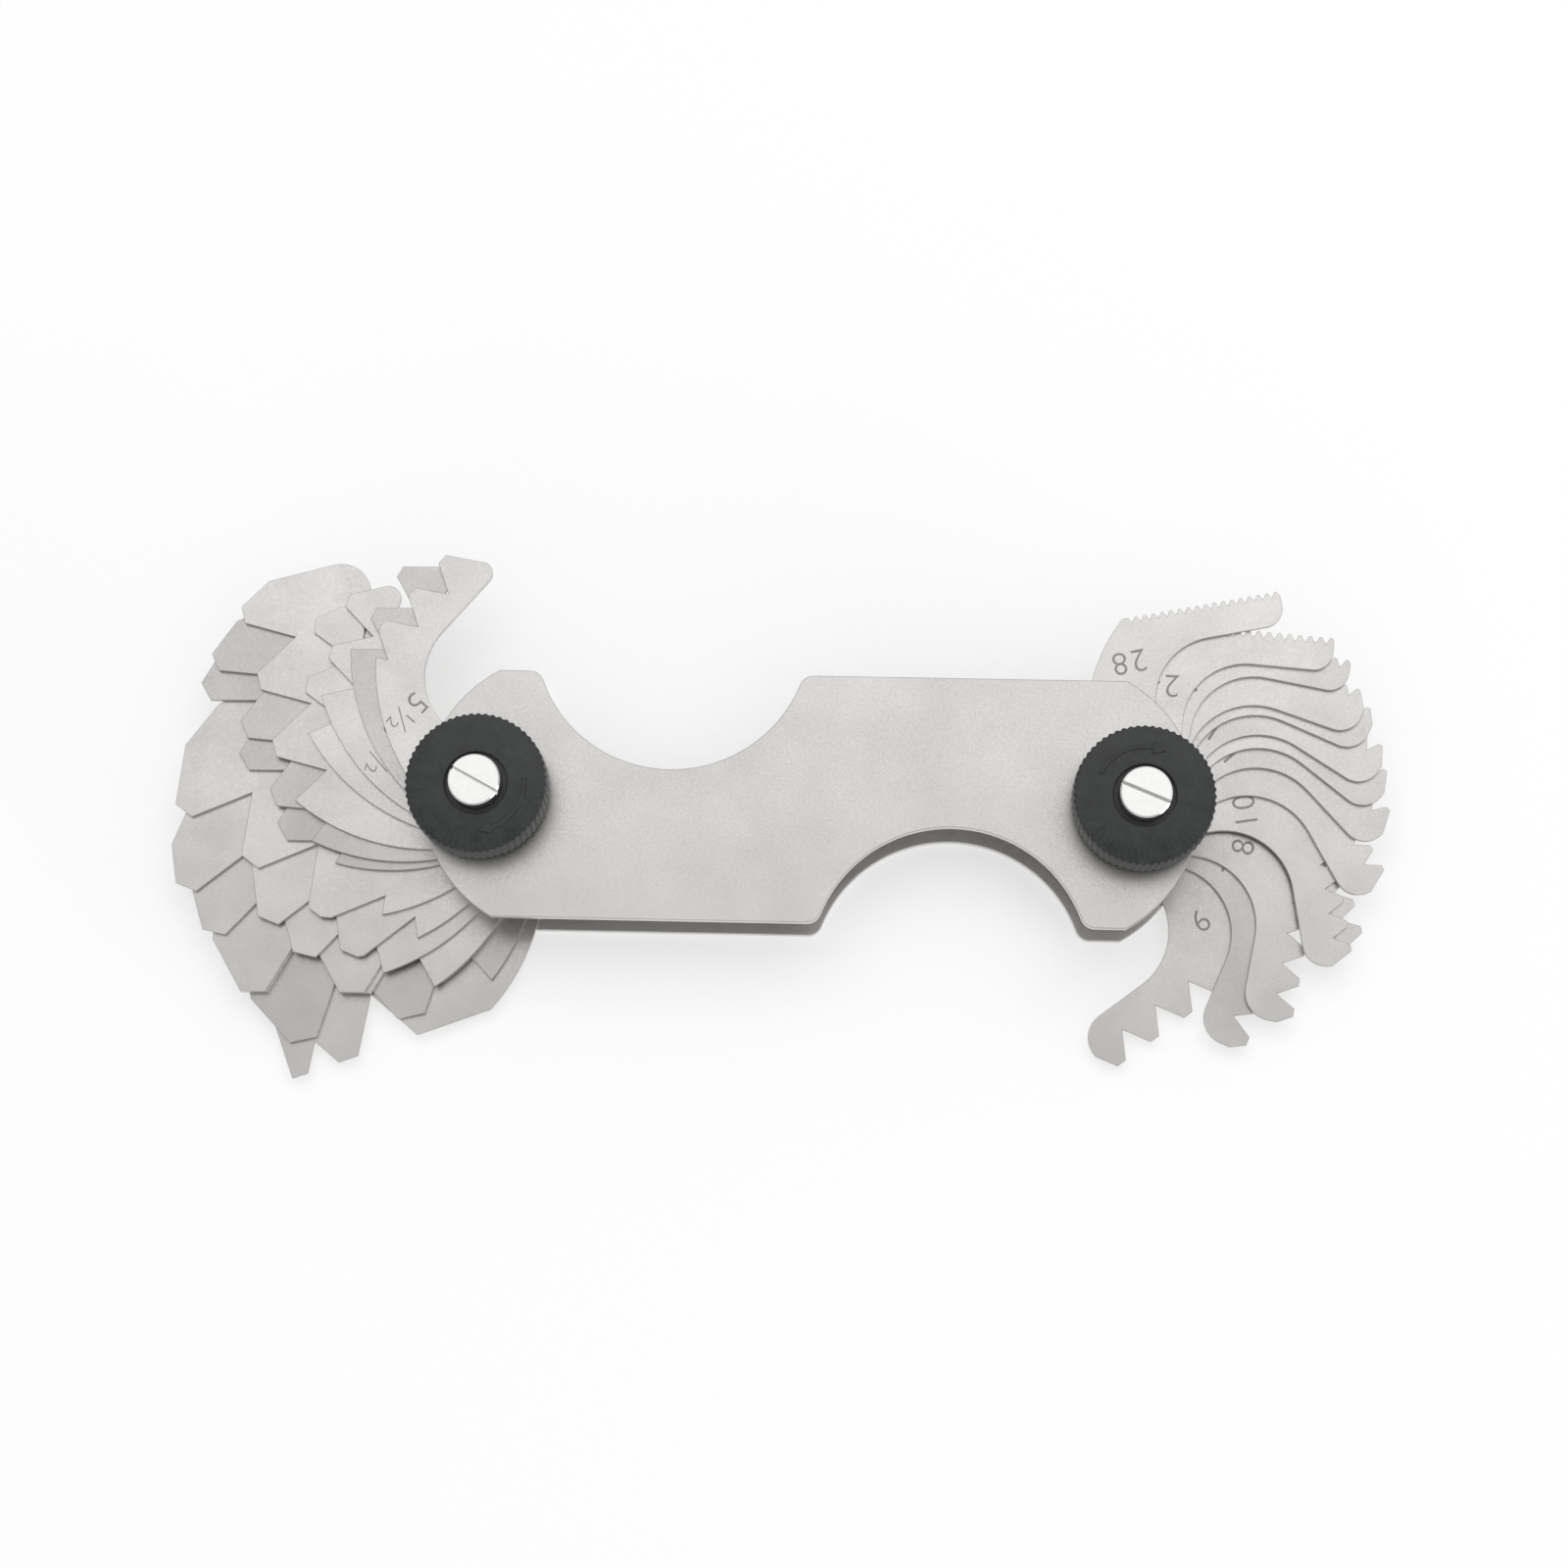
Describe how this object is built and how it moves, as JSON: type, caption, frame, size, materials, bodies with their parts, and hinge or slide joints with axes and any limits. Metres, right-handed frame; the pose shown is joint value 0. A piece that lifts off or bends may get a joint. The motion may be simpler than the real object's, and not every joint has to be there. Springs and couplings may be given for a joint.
{
  "type": "thread pitch gauge",
  "caption": "Flat two-plate steel case with fans of toothed gauge leaves hinged at both ends, clamped by knurled lock knobs, and a centre gauge leaf.",
  "frame": {"origin": "centre of the case at the outer face of the back plate", "axes": "+X along the case towards the fine leaves, +Y across it, +Z out of the front plate through the knobs"},
  "size_m": [0.1249, 0.0537, 0.0166],
  "materials": {
    "case_steel": "satin",
    "leaf_steel": "satin",
    "stud_steel": "polished",
    "knob_black": "satin"
  },
  "bodies": {
    "case": {"back_case_plate": "case_steel", "front_case_plate": "case_steel", "left_pivot_stud": "stud_steel", "right_pivot_stud": "stud_steel"},
    "left_knob": {"left_lock_knob": "knob_black"},
    "right_knob": {"right_lock_knob": "knob_black"},
    "leaf_28_body": {"leaf_28": "leaf_steel"},
    "leaf_24_body": {"leaf_24": "leaf_steel"},
    "leaf_20_body": {"leaf_20": "leaf_steel"},
    "leaf_18_body": {"leaf_18": "leaf_steel"},
    "leaf_16_body": {"leaf_16": "leaf_steel"},
    "leaf_14_body": {"leaf_14": "leaf_steel"},
    "leaf_13_body": {"leaf_13": "leaf_steel"},
    "leaf_12_body": {"leaf_12": "leaf_steel"},
    "leaf_11_body": {"leaf_11": "leaf_steel"},
    "leaf_10_body": {"leaf_10": "leaf_steel"},
    "leaf_9_body": {"leaf_9": "leaf_steel"},
    "leaf_8_body": {"leaf_8": "leaf_steel"},
    "leaf_7_body": {"leaf_7": "leaf_steel"},
    "leaf_6_body": {"leaf_6": "leaf_steel"},
    "leaf_5_half_body": {"leaf_5_half": "leaf_steel"},
    "leaf_5_body": {"leaf_5": "leaf_steel"},
    "leaf_4_half_body": {"leaf_4_half": "leaf_steel"},
    "leaf_4_body": {"leaf_4": "leaf_steel"},
    "leaf_3_half_body": {"leaf_3_half": "leaf_steel"},
    "leaf_3_quarter_body": {"leaf_3_quarter": "leaf_steel"},
    "leaf_3_body": {"leaf_3": "leaf_steel"},
    "leaf_2_seven_eighths_body": {"leaf_2_seven_eighths": "leaf_steel"},
    "leaf_2_three_quarters_body": {"leaf_2_three_quarters": "leaf_steel"},
    "leaf_2_five_eighths_body": {"leaf_2_five_eighths": "leaf_steel"},
    "leaf_2_half_body": {"leaf_2_half": "leaf_steel"},
    "leaf_2_three_eighths_body": {"leaf_2_three_eighths": "leaf_steel"},
    "leaf_2_quarter_body": {"leaf_2_quarter": "leaf_steel"},
    "centre_gauge_leaf_body": {"centre_gauge_leaf": "leaf_steel"}
  },
  "joints": [
    {"name": "left_knob_turn", "type": "hinge", "parent": "case", "child": "left_knob", "pos_m": [-0.0334, 0, 0.0123], "axis": [0, 0, 1], "range_deg": [-15, 180]},
    {"name": "right_knob_turn", "type": "hinge", "parent": "case", "child": "right_knob", "pos_m": [0.0334, 0, 0.0123], "axis": [0, 0, 1], "range_deg": [-15, 180]},
    {"name": "leaf_28_hinge", "type": "hinge", "parent": "case", "child": "leaf_28_body", "pos_m": [0.0334, 0, 0.00851], "axis": [0, 0, 1], "range_deg": [-252.3, 17.7]},
    {"name": "leaf_24_hinge", "type": "hinge", "parent": "case", "child": "leaf_24_body", "pos_m": [0.0334, 0, 0.00795], "axis": [0, 0, 1], "range_deg": [-236.4, 33.6]},
    {"name": "leaf_20_hinge", "type": "hinge", "parent": "case", "child": "leaf_20_body", "pos_m": [0.0334, 0, 0.0074], "axis": [0, 0, 1], "range_deg": [-230.3, 39.7]},
    {"name": "leaf_18_hinge", "type": "hinge", "parent": "case", "child": "leaf_18_body", "pos_m": [0.0334, 0, 0.00684], "axis": [0, 0, 1], "range_deg": [-222.1, 47.9]},
    {"name": "leaf_16_hinge", "type": "hinge", "parent": "case", "child": "leaf_16_body", "pos_m": [0.0334, 0, 0.00629], "axis": [0, 0, 1], "range_deg": [-217.7, 52.3]},
    {"name": "leaf_14_hinge", "type": "hinge", "parent": "case", "child": "leaf_14_body", "pos_m": [0.0334, 0, 0.00573], "axis": [0, 0, 1], "range_deg": [-208.6, 61.4]},
    {"name": "leaf_13_hinge", "type": "hinge", "parent": "case", "child": "leaf_13_body", "pos_m": [0.0334, 0, 0.00518], "axis": [0, 0, 1], "range_deg": [-202.7, 67.3]},
    {"name": "leaf_12_hinge", "type": "hinge", "parent": "case", "child": "leaf_12_body", "pos_m": [0.0334, 0, 0.00462], "axis": [0, 0, 1], "range_deg": [-193.7, 76.3]},
    {"name": "leaf_11_hinge", "type": "hinge", "parent": "case", "child": "leaf_11_body", "pos_m": [0.0334, 0, 0.00407], "axis": [0, 0, 1], "range_deg": [-180.1, 89.9]},
    {"name": "leaf_10_hinge", "type": "hinge", "parent": "case", "child": "leaf_10_body", "pos_m": [0.0334, 0, 0.00351], "axis": [0, 0, 1], "range_deg": [-160.2, 109.8]},
    {"name": "leaf_9_hinge", "type": "hinge", "parent": "case", "child": "leaf_9_body", "pos_m": [0.0334, 0, 0.00296], "axis": [0, 0, 1], "range_deg": [-165.4, 104.6]},
    {"name": "leaf_8_hinge", "type": "hinge", "parent": "case", "child": "leaf_8_body", "pos_m": [0.0334, 0, 0.0024], "axis": [0, 0, 1], "range_deg": [-140.7, 129.3]},
    {"name": "leaf_7_hinge", "type": "hinge", "parent": "case", "child": "leaf_7_body", "pos_m": [0.0334, 0, 0.00185], "axis": [0, 0, 1], "range_deg": [-128.4, 141.6]},
    {"name": "leaf_6_hinge", "type": "hinge", "parent": "case", "child": "leaf_6_body", "pos_m": [0.0334, 0, 0.00129], "axis": [0, 0, 1], "range_deg": [-98.1, 171.9]},
    {"name": "leaf_5_half_hinge", "type": "hinge", "parent": "case", "child": "leaf_5_half_body", "pos_m": [-0.0334, 0, 0.00851], "axis": [0, 0, 1], "range_deg": [-110.7, 159.3]},
    {"name": "leaf_5_hinge", "type": "hinge", "parent": "case", "child": "leaf_5_body", "pos_m": [-0.0334, 0, 0.00795], "axis": [0, 0, 1], "range_deg": [-121.3, 148.7]},
    {"name": "leaf_4_half_hinge", "type": "hinge", "parent": "case", "child": "leaf_4_half_body", "pos_m": [-0.0334, 0, 0.0074], "axis": [0, 0, 1], "range_deg": [-135.2, 134.8]},
    {"name": "leaf_4_hinge", "type": "hinge", "parent": "case", "child": "leaf_4_body", "pos_m": [-0.0334, 0, 0.00684], "axis": [0, 0, 1], "range_deg": [-145.6, 124.4]},
    {"name": "leaf_3_half_hinge", "type": "hinge", "parent": "case", "child": "leaf_3_half_body", "pos_m": [-0.0334, 0, 0.00629], "axis": [0, 0, 1], "range_deg": [-145.6, 124.4]},
    {"name": "leaf_3_quarter_hinge", "type": "hinge", "parent": "case", "child": "leaf_3_quarter_body", "pos_m": [-0.0334, 0, 0.00573], "axis": [0, 0, 1], "range_deg": [-155.5, 114.5]},
    {"name": "leaf_3_hinge", "type": "hinge", "parent": "case", "child": "leaf_3_body", "pos_m": [-0.0334, 0, 0.00518], "axis": [0, 0, 1], "range_deg": [-160.7, 109.3]},
    {"name": "leaf_2_seven_eighths_hinge", "type": "hinge", "parent": "case", "child": "leaf_2_seven_eighths_body", "pos_m": [-0.0334, 0, 0.00462], "axis": [0, 0, 1], "range_deg": [-183.6, 86.4]},
    {"name": "leaf_2_three_quarters_hinge", "type": "hinge", "parent": "case", "child": "leaf_2_three_quarters_body", "pos_m": [-0.0334, 0, 0.00407], "axis": [0, 0, 1], "range_deg": [-199.1, 70.9]},
    {"name": "leaf_2_five_eighths_hinge", "type": "hinge", "parent": "case", "child": "leaf_2_five_eighths_body", "pos_m": [-0.0334, 0, 0.00351], "axis": [0, 0, 1], "range_deg": [-207.2, 62.8]},
    {"name": "leaf_2_half_hinge", "type": "hinge", "parent": "case", "child": "leaf_2_half_body", "pos_m": [-0.0334, 0, 0.00296], "axis": [0, 0, 1], "range_deg": [-220.5, 49.5]},
    {"name": "leaf_2_three_eighths_hinge", "type": "hinge", "parent": "case", "child": "leaf_2_three_eighths_body", "pos_m": [-0.0334, 0, 0.0024], "axis": [0, 0, 1], "range_deg": [-220.5, 49.5]},
    {"name": "leaf_2_quarter_hinge", "type": "hinge", "parent": "case", "child": "leaf_2_quarter_body", "pos_m": [-0.0334, 0, 0.00185], "axis": [0, 0, 1], "range_deg": [-233.6, 36.4]},
    {"name": "centre_gauge_leaf_hinge", "type": "hinge", "parent": "case", "child": "centre_gauge_leaf_body", "pos_m": [-0.0334, 0, 0.00129], "axis": [0, 0, 1], "range_deg": [-240.6, 29.4]}
  ]
}
